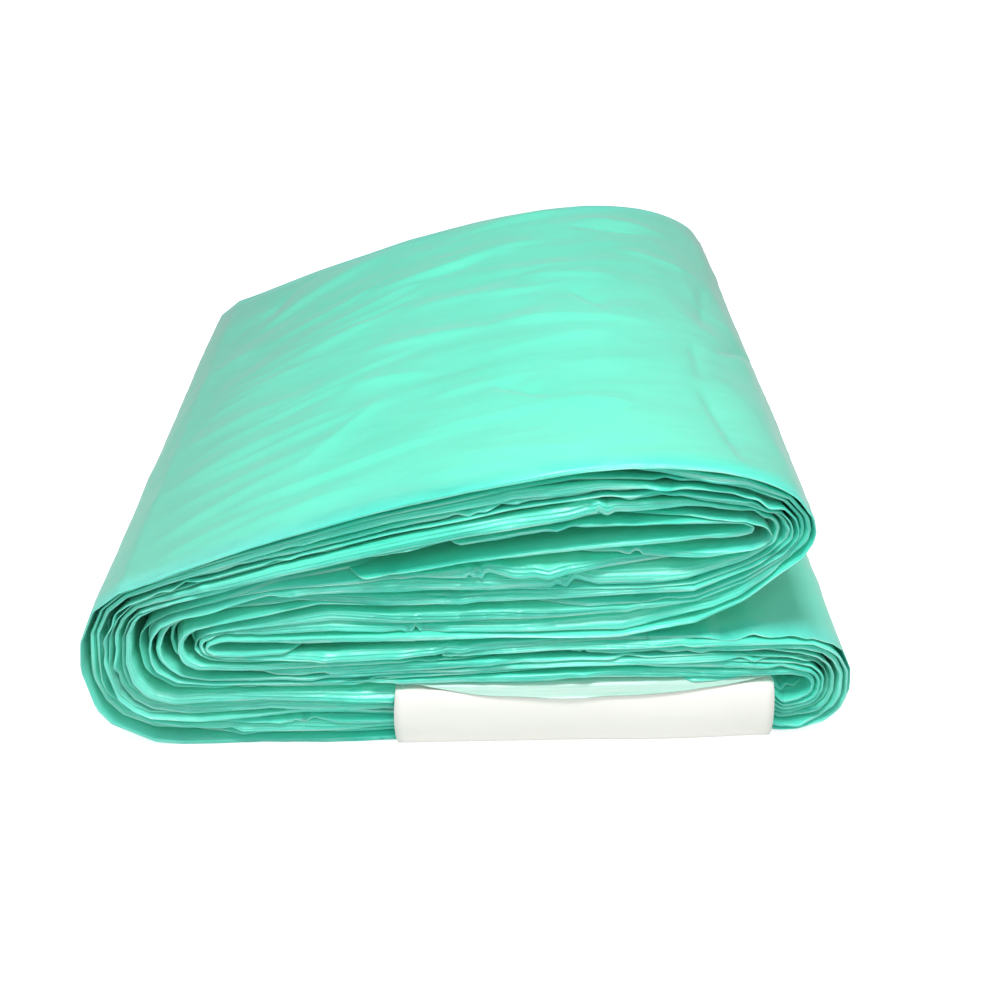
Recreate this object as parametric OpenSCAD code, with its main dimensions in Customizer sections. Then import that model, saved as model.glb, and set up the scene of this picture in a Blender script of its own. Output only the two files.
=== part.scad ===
// Refill of diaper bin liners: one endless tube of thin film, laid flat, wound into a flat ring,
// then folded in half so that its two arms lie on each other, with a paper band round the lowest run.
// X runs along the film, Y across its flat width, Z up. The origin is under the middle, on the table.

/* [Film] */
// Flat width of the film tube, which is the depth of the folded stack
film_w = 208; // [120:1:320]
// Number of turns that the ring shows
turns = 10; // [4:1:12]
// Share of the spacing between turns that the film itself takes up
film_fill = 0.74; // [0.5:0.01:0.85]
// How far loose turns wander, as a share of the air between them
slack = 0.35; // [0:0.05:0.45]

/* [Stack] */
// Width of the folded stack, from the left fold to the lower right hairpin
stack_w = 200; // [170:1:260]
// How much shorter the upper arm is than the lower one
arm_setback = 12.8; // [6:0.1:24]
// Distance from the lower right hairpin back to the crown of the top run
crown_back = 57.4; // [48:0.1:70]

/* [Thickness of each run] */
// Bottom run, which the paper band holds
bottom_run = 16.4; // [10:0.1:24]
// Upper run of the lower arm
lower_mid_run = 12; // [8:0.1:20]
// Lower run of the upper arm, where it is fullest
upper_mid_run = 25.6; // [18:0.1:32]
// Top run, at its crown
top_run = 17.6; // [12:0.1:24]
// Lower run of the upper arm, at the left fold
left_mid_run = 9; // [6:0.1:12]
// Top run, at the left fold
left_top_run = 7.4; // [6:0.1:12]

/* [Thickness of each fold] */
// All turns at the left fold, outside the opening of the ring
left_fold = 14; // [9:0.1:18]
// All turns at the left fold, inside the opening of the ring
inner_fold = 18.4; // [14:0.1:26]
// All turns at the lower right hairpin
lower_hairpin = 12; // [8:0.1:15]
// All turns at the upper right hairpin
upper_hairpin = 10.6; // [6:0.1:14]

/* [Openings] */
// Opening of the ring inside the upper arm
upper_gap = 6; // [2:0.1:8]
// Opening of the ring at the left fold
left_gap = 1.8; // [0.8:0.1:3]
// Opening of the ring at the lower right hairpin
hairpin_gap = 4; // [2:0.1:6]
// Air between the band and the run over it
slot_gap = 0.8; // [0.4:0.1:3]
// Gap between the two arms where they lie on each other
arm_gap = 0.8; // [0.3:0.1:1.5]
// Length of the small eye at the end of the gap between the arms
eye_l = 5; // [2:0.1:8]
// Height of that eye
eye_h = 3; // [1.6:0.1:5]

/* [Length of each bend] */
// Left fold, from where the top and bottom runs start to curve
left_bend = 26; // [20:0.1:34]
// Inner turns at the left fold, from where their runs start to curve
inner_bend = 15; // [8:0.1:20]
// Lower right hairpin, from where its runs start to curve
right_bend = 18; // [15.5:0.1:26]

/* [Paper band] */
// Width of the band along the film
band_w = 98; // [50:1:110]
// Distance from the start of the lower right hairpin to the band
band_inset = 3; // [0.5:0.1:10]
// Thickness of the paper
paper_t = 0.25; // [0.15:0.01:0.5]
// Clearance between the paper and the film
paper_gap = 0.12; // [0.05:0.01:0.3]
// How far the band bulges past the film's edges, front and back
band_bulge = 3; // [1:0.1:5]
// Length of the glued lap under the band
lap_l = 28; // [12:1:60]

/* [Hidden] */

// Places along X, from the left fold to the right
left_x = -stack_w / 2;
left_bend_x = left_x + left_bend;
opening_x = left_x + left_fold;
inner_x = opening_x + left_gap;
inner_bend_x = inner_x + inner_bend;
eye_x = inner_x + inner_fold;
eye_end_x = eye_x + eye_l;
right_x = stack_w / 2;
crown_x = right_x - crown_back;
upper_end_x = right_x - arm_setback;
right_bend_x = right_x - right_bend;
band_right = right_bend_x - band_inset;
band_left = band_right - band_w;

// Heights of the layers, from the table up
band_floor = 2 * paper_t;
bottom_lo = band_floor + paper_gap;
bottom_hi = bottom_lo + bottom_run;
band_top = bottom_hi + paper_gap + paper_t;
lower_mid_lo = band_top + slot_gap;
lower_mid_hi = lower_mid_lo + lower_mid_run;
arm_gap_z = lower_mid_hi + arm_gap / 2;
upper_mid_lo = lower_mid_hi + arm_gap;
upper_mid_hi = upper_mid_lo + upper_mid_run;
upper_gap_z = upper_mid_hi + upper_gap / 2;
top_lo = upper_mid_hi + upper_gap;
top_hi = top_lo + top_run;
left_mid_hi = upper_mid_lo + left_mid_run;
left_top_lo = left_mid_hi + left_gap;
left_top_hi = left_top_lo + left_top_run;

// Degrees of each bend from one crease to the next
crease_angle = 30;
// Angle at which the left fold passes into the sloping top run
shoulder_angle = 105;
// Steps that each sloping run is creased into
run_steps = 6;
// Share of the way from the band to the left fold in which the bottom run comes down to the table
settle_share = 0.3;
// Shares of the upper run of the lower arm at which the film starts to climb a turn, and ends
climb_start = 0.2;
climb_end = 0.75;
// Degrees by which the wander of loose turns goes on from one crease to the next
wander_turn = 137;
// Powers of the ovals: squarer than an ellipse, rounder, and hollower
square_power = 2.4;
round_power = 2.2;
slump_power = 1.6;
// Powers of the rises from the left fold to the crown, over and under the opening
roof_power = 1.5;
floor_power = 2;

function mix(a, b, t) = a + (b - a) * t;

// A value raised to a power with its sign kept
function signed_pow(v, p) = sign(v) * pow(abs(v), p);

// The point at an angle on an oval of the given centre and half sizes; a higher power is squarer
function oval(centre, half, power, angle) = [
    centre.x + half.x * signed_pow(cos(angle), 2 / power),
    centre.y + half.y * signed_pow(sin(angle), 2 / power)
];

// The point at a share of the way up a curve that starts steep and is level at its end
function rise(from, to, power, along) = [
    mix(from.x, to.x, along),
    mix(to.y, from.y, pow(1 - along, power))
];

// Each station is a pair of points: on the turn beside the ring's opening, and on the outermost turn.
// The stations run once round the ring, starting in the upper run of the lower arm, towards the right.
function lower_mid(along) = [
    [mix(inner_bend_x, right_bend_x, along), lower_mid_lo],
    [mix(eye_end_x, right_bend_x, along), lower_mid_hi]
];

function lower_hairpin(angle) = [
    oval(
        [right_bend_x, lower_mid_lo - hairpin_gap / 2],
        [right_bend - lower_hairpin, hairpin_gap / 2], square_power, angle
    ),
    oval([right_bend_x, lower_mid_hi / 2], [right_bend, lower_mid_hi / 2], square_power, angle)
];

function bottom(x, underside) = [[x, bottom_hi], [x, underside]];

function left_fold(angle) = [
    oval(
        [left_bend_x, (left_top_lo + bottom_hi) / 2],
        [left_bend - left_fold, (left_top_lo - bottom_hi) / 2], square_power, angle
    ),
    oval([left_bend_x, left_top_hi / 2], [left_bend, left_top_hi / 2], square_power, angle)
];

function top(along) = [
    rise(left_fold(shoulder_angle)[0], [crown_x, top_lo], roof_power, along),
    rise(left_fold(shoulder_angle)[1], [crown_x, top_hi], roof_power, along)
];

function upper_hairpin(angle) = [
    oval(
        [crown_x, upper_gap_z],
        [upper_end_x - upper_hairpin - crown_x, upper_gap / 2], square_power, angle
    ),
    angle >= 0
        ? oval([crown_x, upper_gap_z], [upper_end_x - crown_x, top_hi - upper_gap_z], round_power, angle)
        : oval([crown_x, upper_gap_z], [upper_end_x - crown_x, upper_gap_z - upper_mid_lo], slump_power, angle)
];

function upper_mid(along) = [
    rise([inner_bend_x, left_mid_hi], [crown_x, upper_mid_hi], floor_power, along),
    [mix(eye_end_x, crown_x, along), upper_mid_lo]
];

function inner_fold(angle) = [
    oval(
        [inner_bend_x, (left_mid_hi + lower_mid_lo) / 2],
        [inner_bend, (left_mid_hi - lower_mid_lo) / 2], square_power, angle
    ),
    oval([eye_end_x, arm_gap_z], [eye_l, eye_h / 2], 2, angle)
];

stations = [
    lower_mid(climb_end),
    for (angle = [90:-crease_angle:-90]) lower_hairpin(angle),
    bottom(band_right, bottom_lo),
    bottom(band_left, bottom_lo),
    bottom(mix(band_left, left_bend_x, settle_share), 0),
    for (angle = [270:-crease_angle:shoulder_angle + crease_angle / 2]) left_fold(angle),
    for (i = [0:run_steps]) top(i / run_steps),
    for (angle = [90 - crease_angle / 2:-crease_angle / 2:-90]) upper_hairpin(angle),
    for (i = [1:run_steps - 1]) upper_mid(1 - i / run_steps),
    for (angle = [90:crease_angle:270]) inner_fold(angle),
    lower_mid(climb_start)
];
per_turn = len(stations);
climb_from = per_turn - 1;
last_step = turns * per_turn - 1;

// The point at a crease, counted from the start of the film, on its inner face at depth 0 and its
// outer face at depth 1. A turn keeps its place in the pack until it climbs to the next one's place.
function wound(step, depth) =
    let (
        turn = floor(step / per_turn),
        pair = stations[step - turn * per_turn],
        air = 1 - film_fill,
        wander = slack * air * sin(180 * turn / (turns - 1)) * sin(step * wander_turn)
    )
    mix(pair[0], pair[1], (turn + wander + depth * film_fill) / (turns - air));

module liner_film() {
    color("mediumaquamarine")
        rotate([90, 0, 0])
            linear_extrude(height = film_w, center = true)
                polygon(concat(
                    [for (step = [0:last_step]) wound(step, 0)],
                    [for (step = [last_step:-1:0]) wound(step, 1)]
                ));
}

// Outline of the band across the film, grown by a margin; its ends bulge in an arc
module band_outline(margin) {
    edge = film_w / 2 + paper_gap + margin;
    low = band_floor - margin;
    high = band_top - paper_t + margin;
    middle = (high + low) / 2;
    half_h = (high - low) / 2;
    polygon([
        for (side = [1, -1], angle = [-90:15:90])
            [side * (edge + band_bulge * cos(angle)), middle + side * half_h * sin(angle)]
    ]);
}

module paper_band() {
    color("white")
        translate([band_left, 0, 0])
            rotate([90, 0, 90])
                linear_extrude(height = band_w) {
                    difference() {
                        band_outline(paper_t);
                        band_outline(0);
                    }
                    translate([-lap_l / 2, 0])
                        square([lap_l, band_floor]);
                }
}

liner_film();
paper_band();
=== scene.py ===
import math

import bpy
import numpy as np
from mathutils import Matrix, Vector


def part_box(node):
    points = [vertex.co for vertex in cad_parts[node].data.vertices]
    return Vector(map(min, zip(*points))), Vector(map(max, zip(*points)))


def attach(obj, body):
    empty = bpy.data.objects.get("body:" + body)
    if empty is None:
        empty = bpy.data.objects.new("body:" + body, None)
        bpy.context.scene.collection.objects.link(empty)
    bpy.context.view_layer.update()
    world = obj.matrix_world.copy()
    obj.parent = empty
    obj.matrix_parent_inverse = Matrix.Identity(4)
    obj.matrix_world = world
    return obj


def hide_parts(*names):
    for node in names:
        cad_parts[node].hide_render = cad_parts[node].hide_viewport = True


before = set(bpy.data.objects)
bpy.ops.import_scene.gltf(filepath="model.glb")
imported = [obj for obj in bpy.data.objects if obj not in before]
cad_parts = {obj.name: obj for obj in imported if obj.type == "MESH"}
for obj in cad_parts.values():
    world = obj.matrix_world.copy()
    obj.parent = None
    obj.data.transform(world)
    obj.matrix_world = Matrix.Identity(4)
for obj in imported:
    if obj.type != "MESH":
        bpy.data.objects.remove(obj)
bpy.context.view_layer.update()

# Refill of bin liners: a flat tube of mint film, wound into a flat ring and folded in half, with a
# paper band round its bottom run. All lengths are in metres; a value in millimetres is times MM.
MM = 0.001
film_low, film_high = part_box("liner_film")
band_low, band_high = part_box("paper_band")
rng = np.random.default_rng(7)

# Section of the stack, after the part's source, with its openings a little wider
BOTTOM_LO, BOTTOM_HI = 0.62 * MM, 17.02 * MM
LOWER_MID_LO, LOWER_MID_HI = 18.19 * MM, 30.19 * MM
UPPER_MID_LO, UPPER_MID_HI = 30.99 * MM, 54.6 * MM
TOP_LO = 64.4 * MM
LEFT_MID_HI, LEFT_TOP_LO = 39.9 * MM, 41.4 * MM
SHOULDER = 49.2 * MM
LEFT_BEND, LEFT_FOLD, LEFT_GAP = 26 * MM, 14 * MM, 1.8 * MM
INNER_BEND, INNER_FOLD = 15 * MM, 18.4 * MM
EYE_L, EYE_H = 5 * MM, 3 * MM
RIGHT_BEND, LOWER_HAIRPIN, HAIRPIN_GAP = 18 * MM, 12 * MM, 5 * MM
ARM_SETBACK, CROWN_BACK, UPPER_HAIRPIN = 12.8 * MM, 57.4 * MM, 11.6 * MM
CLIMB_START, CLIMB_END = 0.2, 0.75
CLIMB_STEPS = 60
SETTLE_SHARE = 0.3
TIGHT_GAP = 0.7 * MM
# Powers of the ovals and of the rises to the crown, over and under the opening
SQUARE, ROUND, SLUMP, OPENING = 2.4, 2.2, 1.6, 3
ROOF, FLOOR = 1.5, 2

LEFT_X, RIGHT_X = film_low[0], film_high[0]
TOP_HI = film_high[2]
FILM_FRONT, FILM_BACK = film_low[1], film_high[1]
LEFT_BEND_X = LEFT_X + LEFT_BEND
INNER_X = LEFT_X + LEFT_FOLD + LEFT_GAP
INNER_BEND_X = INNER_X + INNER_BEND
EYE_END_X = INNER_X + INNER_FOLD + EYE_L
CROWN_X = RIGHT_X - CROWN_BACK
UPPER_END_X = RIGHT_X - ARM_SETBACK
RIGHT_BEND_X = RIGHT_X - RIGHT_BEND
OPENING_Z = (UPPER_MID_HI + TOP_LO) / 2


def smooth(x):
    """A smooth step from 0 to 1 as x goes from 0 to 1."""
    x = np.clip(x, 0, 1)
    return x * x * (3 - 2 * x)


def oval(centre, half, power, degrees):
    """Points on an oval |x/a|^p + |z/b|^p = 1; a higher power is squarer."""
    turned = np.radians(degrees)
    wave = np.stack([np.cos(turned), np.sin(turned)], axis=1)
    return np.array(centre) + np.array(half) * np.sign(wave) * np.abs(wave) ** (2 / power)


def line(start, end, count):
    """Points evenly spaced on a straight line from start to end."""
    share = np.linspace(0, 1, count)[:, None]
    return np.array(start) * (1 - share) + np.array(end) * share


def rise(start, end, power, count):
    """Points on a curve that leaves start steeply and is level at end: z falls short of the end by
    the drop times (1 - share) to a power."""
    share = np.linspace(0, 1, count)
    x = start[0] + (end[0] - start[0]) * share
    z = end[1] - (end[1] - start[1]) * (1 - share) ** power
    return np.stack([x, z], axis=1)


def section():
    """The ring's section: for places once round it, the point beside its opening, the point on its
    outermost turn, the share of a turn's climb, and the number of the stretch. It starts in the upper
    run of the lower arm."""
    arm_mid = (LOWER_MID_HI + UPPER_MID_LO) / 2
    seam_in = INNER_BEND_X + (RIGHT_BEND_X - INNER_BEND_X) * CLIMB_END
    seam_out = EYE_END_X + (RIGHT_BEND_X - EYE_END_X) * CLIMB_END
    band_left, band_right = band_low[0], band_high[0]
    settle_x = band_left + SETTLE_SHARE * (LEFT_BEND_X - band_left)
    down = np.linspace(90, -90, 90)
    left_up = np.linspace(270, 105, 90)
    left_in = oval([LEFT_BEND_X, (LEFT_TOP_LO + BOTTOM_HI) / 2],
                   [LEFT_BEND - LEFT_FOLD, (LEFT_TOP_LO - BOTTOM_HI) / 2], SQUARE, left_up)
    left_out = oval([LEFT_BEND_X, SHOULDER / 2], [LEFT_BEND, SHOULDER / 2], SQUARE, left_up)
    hair_in = oval([CROWN_X, OPENING_Z],
                   [UPPER_END_X - UPPER_HAIRPIN - CROWN_X, (TOP_LO - UPPER_MID_HI) / 2], OPENING, down)
    hair_top = oval([CROWN_X, OPENING_Z], [UPPER_END_X - CROWN_X, TOP_HI - OPENING_Z], ROUND, down)
    hair_low = oval([CROWN_X, OPENING_Z], [UPPER_END_X - CROWN_X, OPENING_Z - UPPER_MID_LO], SLUMP, down)
    inner_turn = np.linspace(90, 270, 70)
    parts = [
        (line([seam_in, LOWER_MID_LO], [RIGHT_BEND_X, LOWER_MID_LO], 30),
         line([seam_out, LOWER_MID_HI], [RIGHT_BEND_X, LOWER_MID_HI], 30)),
        (oval([RIGHT_BEND_X, LOWER_MID_LO - HAIRPIN_GAP / 2],
              [RIGHT_BEND - LOWER_HAIRPIN, HAIRPIN_GAP / 2], SQUARE, down),
         oval([RIGHT_BEND_X, LOWER_MID_HI / 2], [RIGHT_BEND, LOWER_MID_HI / 2], SQUARE, down)),
        (line([band_right, BOTTOM_HI], [band_left, BOTTOM_HI], 50),
         line([band_right, BOTTOM_LO], [band_left, BOTTOM_LO], 50)),
        (line([settle_x, BOTTOM_HI], [LEFT_BEND_X, BOTTOM_HI], 20),
         line([settle_x, 0], [LEFT_BEND_X, 0], 20)),
        (left_in, left_out),
        (rise(left_in[-1], [CROWN_X, TOP_LO], ROOF, 80), rise(left_out[-1], [CROWN_X, TOP_HI], ROOF, 80)),
        (hair_in, np.where(down[:, None] >= 0, hair_top, hair_low)),
        (rise([INNER_BEND_X, LEFT_MID_HI], [CROWN_X, UPPER_MID_HI], FLOOR, 80)[::-1],
         line([CROWN_X, UPPER_MID_LO], [EYE_END_X, UPPER_MID_LO], 80)),
        (oval([INNER_BEND_X, (LEFT_MID_HI + LOWER_MID_LO) / 2],
              [INNER_BEND, (LEFT_MID_HI - LOWER_MID_LO) / 2], SQUARE, inner_turn),
         oval([EYE_END_X, arm_mid], [EYE_L, EYE_H / 2], 2, inner_turn)),
        (line([INNER_BEND_X, LOWER_MID_LO], [seam_in, LOWER_MID_LO], CLIMB_STEPS),
         line([EYE_END_X, LOWER_MID_HI], [seam_out, LOWER_MID_HI], CLIMB_STEPS)),
    ]
    roof = parts[5][0]
    floor = parts[7][0]
    under_roof = np.interp(floor[:, 0], roof[:, 0], roof[:, 1])
    opened = smooth((floor[:, 0] + 50 * MM) / (70 * MM))
    closing = 1 - smooth((floor[:, 0] - INNER_BEND_X) / (16 * MM))
    gap = TIGHT_GAP + (TOP_LO - UPPER_MID_HI - TIGHT_GAP) * opened
    gap += (under_roof[-1] - LEFT_MID_HI - TIGHT_GAP) * closing
    floor[:, 1] = np.maximum(floor[:, 1], under_roof - gap)
    for arm, way in ((parts[7][1], 1), (parts[9][1], -1)):
        to_eye = 1 - smooth((arm[:, 0] - EYE_END_X) / (16 * MM))
        arm[:, 1] += way * (EYE_H - UPPER_MID_LO + LOWER_MID_HI) / 2 * to_eye
    inner = np.concatenate([part[0] for part in parts])
    outer = np.concatenate([part[1] for part in parts])
    part = np.concatenate([np.full(len(part[0]), number) for number, part in enumerate(parts)])
    last = np.zeros(len(inner))
    last[-CLIMB_STEPS:] = np.linspace(0, CLIMB_END, CLIMB_STEPS)
    climb = smooth((last - CLIMB_START) / (CLIMB_END - CLIMB_START))
    middle = (inner + outer) / 2
    step = np.linalg.norm(np.diff(middle, axis=0), axis=1)
    travel = np.concatenate([[0], np.cumsum(step)])
    keep = np.concatenate([[True], step > 1e-9])
    table = np.column_stack([inner, outer, climb, part])[keep]
    even = np.linspace(0, travel[-1], RING_STEPS + 1)
    return np.stack([np.interp(even, travel[keep], column) for column in table.T], axis=1), travel[-1]


RING_STEPS = 1800
TURNS = 10
ring, ring_length = section()
ring_share = np.linspace(0, 1, RING_STEPS + 1)
ring_mid = (ring[:, 0:2] + ring[:, 2:4]) / 2
ring_climb = ring[:, 4]
ring_part = np.round(ring[:, 5])
climb_from = ring_share[np.argmax(ring_climb > 0) - 1]
film_end = TURNS - 1 + climb_from
FILM_LENGTH = film_end * ring_length


def bend_share():
    """The ring's heading, and how much of a bend each place round it is: its turning over the next and
    last 12 mm, where 60 degrees and more count as 1."""
    step = np.diff(ring_mid, axis=0)
    heading = np.unwrap(np.arctan2(step[:, 1], step[:, 0]))
    reach = int(12 * MM / ring_length * RING_STEPS)
    padded = np.concatenate([np.full(reach, heading[0]), heading, np.full(reach + 1, heading[-1])])
    turned = np.abs(padded[2 * reach:] - padded[:-2 * reach])
    return heading, smooth(turned / math.radians(60))


ring_heading, ring_bend = bend_share()


def ring_noise(count, knots):
    """Random values between -1 and 1 at places round the ring, one row for each slot, smooth and
    the same at both ends of a row."""
    values = rng.uniform(-1, 1, (count, knots))
    values = np.concatenate([values, values[:, :1]], axis=1)
    place = ring_share * knots
    low = np.minimum(place.astype(int), knots - 1)
    share = smooth(place - low)
    return values[:, low] * (1 - share) + values[:, low + 1] * share


# Stretches of the ring by name, each with its numbers in the section
STRETCHES = {"lower mid": (0, 9), "lower hairpin": (1,), "bottom": (2, 3), "left fold": (4,), "top": (5,),
             "upper hairpin": (6,), "upper mid": (7,), "inner fold": (8,)}

# Plies that stand out in the photograph: the turn, its stretch, the range in X in mm, how many times
# its slot is as high, how far its edge is drawn in in mm, the place of its fold from the inner side,
# -1, to the outer side, 1, and its fullness
PLIES = [
    (8, "top", -84, 66, 1.3, 7.5, 0.0, 0.5), (7, "top", -84, 30, 0.7, 1.2, -0.5, 0.9),
    (6, "top", -84, 70, 1.5, -0.4, -0.9, 1), (3, "top", -84, 72, 1.0, 1.6, 0.8, 0.7),
    (2, "top", -84, 74, 2.4, -1.2, -0.9, 1), (0, "top", -60, 60, 0.9, 7.0, 0.4, 0.6),
    (1, "upper mid", -2, 58, 2.6, -1.4, 0.9, 1), (0, "upper mid", -40, 70, 1.2, 5.5, -0.8, 0.6),
    (3, "upper mid", -70, 10, 0.9, 5.5, -0.6, 0.5), (4, "upper mid", -40, 70, 1.6, -0.6, 0.9, 1),
    (6, "upper mid", -50, 14, 1.1, 8.0, 0.2, 0.4), (7, "upper mid", -70, 80, 1.6, -0.5, 0.8, 1),
    (8, "lower mid", -60, 84, 1.7, -1.2, -0.8, 1), (6, "lower mid", 0, 66, 1.0, 7.5, 0.2, 0.4),
    (4, "lower mid", -70, 84, 1.6, -0.4, -0.9, 1), (2, "bottom", -74, -16, 1.8, -0.4, 0.9, 1),
    (3, "bottom", -74, -16, 0.7, 2.2, 0, 0.6), (6, "bottom", -74, -16, 2.0, -0.6, 0.9, 1),
    (7, "bottom", -74, -16, 0.7, 2.4, 0, 0.6), (8, "left fold", -110, 0, 1.0, 9.0, 0, 0.45),
    (5, "left fold", -110, 0, 1.0, 6.0, 0, 0.5), (6, "inner fold", -110, 0, 1.2, 7.5, 0, 0.4),
    (4, "inner fold", -110, 0, 0.9, 5.0, 0, 0.45), (1, "inner fold", -110, 0, 1.0, 6.0, 0, 0.45),
    (1, "upper hairpin", 0, 110, 1.2, 6.5, 0, 0.5), (5, "upper hairpin", 0, 110, 0.8, 4.0, 0, 0.5),
    (0, "lower hairpin", 0, 110, 1.0, 6.0, 0, 0.6), (4, "lower hairpin", 0, 110, 0.8, 4.5, 0, 0.5),
]

# Kinks that stand out in the photograph: the turn, its stretch, the place in X in mm, and how strong
KINKS = [
    (1, "upper mid", 4, 1), (2, "upper mid", 25, 0.8), (0, "upper mid", 59, -1),
    (3, "upper mid", -33, 0.8), (8, "upper mid", -15, -0.9), (5, "upper mid", 46, 0.7),
    (6, "lower mid", 28, -0.8), (7, "lower mid", -8, 0.7), (2, "top", 34, 0.6),
    (5, "bottom", -44, 1), (3, "bottom", -30, -0.8), (1, "top", 8, -0.8),
]
# A kink's course: places beside it in mm, and how far it swings there
KINK_PLACES, KINK_SWINGS = [-9, -2.4, -0.5, 1.4, 3.2, 9], [0, -0.9, 1, -0.6, 0.3, 0]


def ply_weight(stretch, low_x, high_x):
    """How much each place round the ring is in a stretch and in a range in X, from 0 to 1, averaged
    over 36 mm along the ring so that it comes and goes gently."""
    x = ring_mid[:, 0]
    within = np.isin(ring_part, STRETCHES[stretch]) & (x > low_x * MM) & (x < high_x * MM)
    reach = int(18 * MM / ring_length * RING_STEPS)
    padded = np.pad(within.astype(float), reach, mode="wrap")
    return np.convolve(padded, np.ones(2 * reach + 1) / (2 * reach + 1), mode="valid")


def slot_edges():
    """Where each turn's slot begins, as a share of the way from the opening to the outermost turn.
    Slots are unequal, so that turns gather in bundles."""
    room = np.exp(1.5 * ring_noise(TURNS, 7) + 1.2 * ring_noise(TURNS, 15) + 0.3 * ring_noise(TURNS, 41))
    room = np.clip(room, 0.3, 3)
    for turn, stretch, low_x, high_x, times, _, _, _ in PLIES:
        weight = ply_weight(stretch, low_x, high_x)
        room[turn] = room[turn] * (1 - weight) + times * weight
    room[-1] = 0.7 + 0.2 * room[-1]
    edges = np.concatenate([np.zeros((1, RING_STEPS + 1)), np.cumsum(room, axis=0)])
    return edges / edges[-1]


edges = slot_edges()


def at_ring(turn, share):
    """Centre of the slot, its direction across the turns, its height and its share of a bend, at a
    share of a turn."""
    place = share * RING_STEPS
    low = np.clip(place.astype(int), 0, RING_STEPS - 1)
    part = place - low

    def pick(row):
        """A row of slot edges at the share of a turn, on the straight line between two steps."""
        return edges[row, low] * (1 - part) + edges[row, low + 1] * part

    here = ring[low] * (1 - part)[:, None] + ring[low + 1] * part[:, None]
    bend = ring_bend[low] * (1 - part) + ring_bend[low + 1] * part
    lift = here[:, 4]
    above = np.minimum(turn + 2, TURNS)
    floor = pick(turn) * (1 - lift) + pick(turn + 1) * lift
    roof = pick(turn + 1) * (1 - lift) + pick(above) * lift
    across = here[:, 2:4] - here[:, 0:2]
    width = np.linalg.norm(across, axis=1)
    centre = here[:, 0:2] + across * ((floor + roof) / 2)[:, None]
    return np.column_stack([centre, across / width[:, None], (roof - floor) * width, bend])


BEND_CORNER = math.radians(27)
RUN_CORNER = 32 * MM


def film_corners():
    """Every crease across the film, from its start to its end: the turns done there, and the slot's
    values. Creases come with the angle that the ring turns by and with the length run, and those of
    neighbouring turns lie near each other."""
    step = np.linalg.norm(np.diff(ring_mid, axis=0), axis=1)
    turned = np.abs(np.gradient(ring_heading))
    count = np.concatenate([[0], np.cumsum(turned / BEND_CORNER + step / RUN_CORNER)])
    creases = round(count[-1])
    count *= creases / count[-1]
    walk = np.cumsum(rng.normal(0, 0.13, (TURNS, creases)), axis=0)
    walk = np.clip(walk - walk.mean(axis=0), -0.38, 0.38)
    share = np.interp(np.arange(creases) + 0.5 + walk, count, ring_share)
    turns_done = (np.arange(TURNS)[:, None] + share).ravel()
    turns_done = turns_done[(turns_done > 0.004) & (turns_done < film_end - 0.004)]
    turns_done = np.concatenate([[0], turns_done, [film_end]])
    whole = turns_done.astype(int)
    return turns_done, at_ring(whole, turns_done - whole)


corner_turns, corner_rows = film_corners()


def creased_path(station):
    """The film's path at some numbers of turns done, in straight stretches from crease to crease."""
    path = np.stack([np.interp(station, corner_turns, column) for column in corner_rows.T], axis=1)
    path[:, 2:4] /= np.linalg.norm(path[:, 2:4], axis=1)[:, None]
    return path


def drift(place, spacing, kinked=False):
    """A value that wanders between -1 and 1 along a distance, with a new random value at every
    spacing, joined by straight lines if kinked and by smooth steps if not."""
    share = (place - place[0]) / spacing
    low = share.astype(int)
    values = rng.uniform(-1, 1, low[-1] + 2)
    share = share - low if kinked else smooth(share - low)
    return values[low] * (1 - share) + values[low + 1] * share


def crumpled(place, spacing, width):
    """Bumps of height 0 to 1 at random places along a distance, each a bell curve."""
    count = max(1, int((place[-1] - place[0]) / spacing))
    spots = rng.uniform(place[0], place[-1], count)
    widths = width * rng.uniform(0.4, 1.3, count)
    heights = rng.uniform(0.4, 1, count)
    total = np.zeros(len(place))
    for spot, wide, high in zip(spots, widths, heights):
        total = np.maximum(total, high * np.exp(-((place - spot) / wide) ** 2))
    return total


EDGE_STEP = 0.4 * MM


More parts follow.
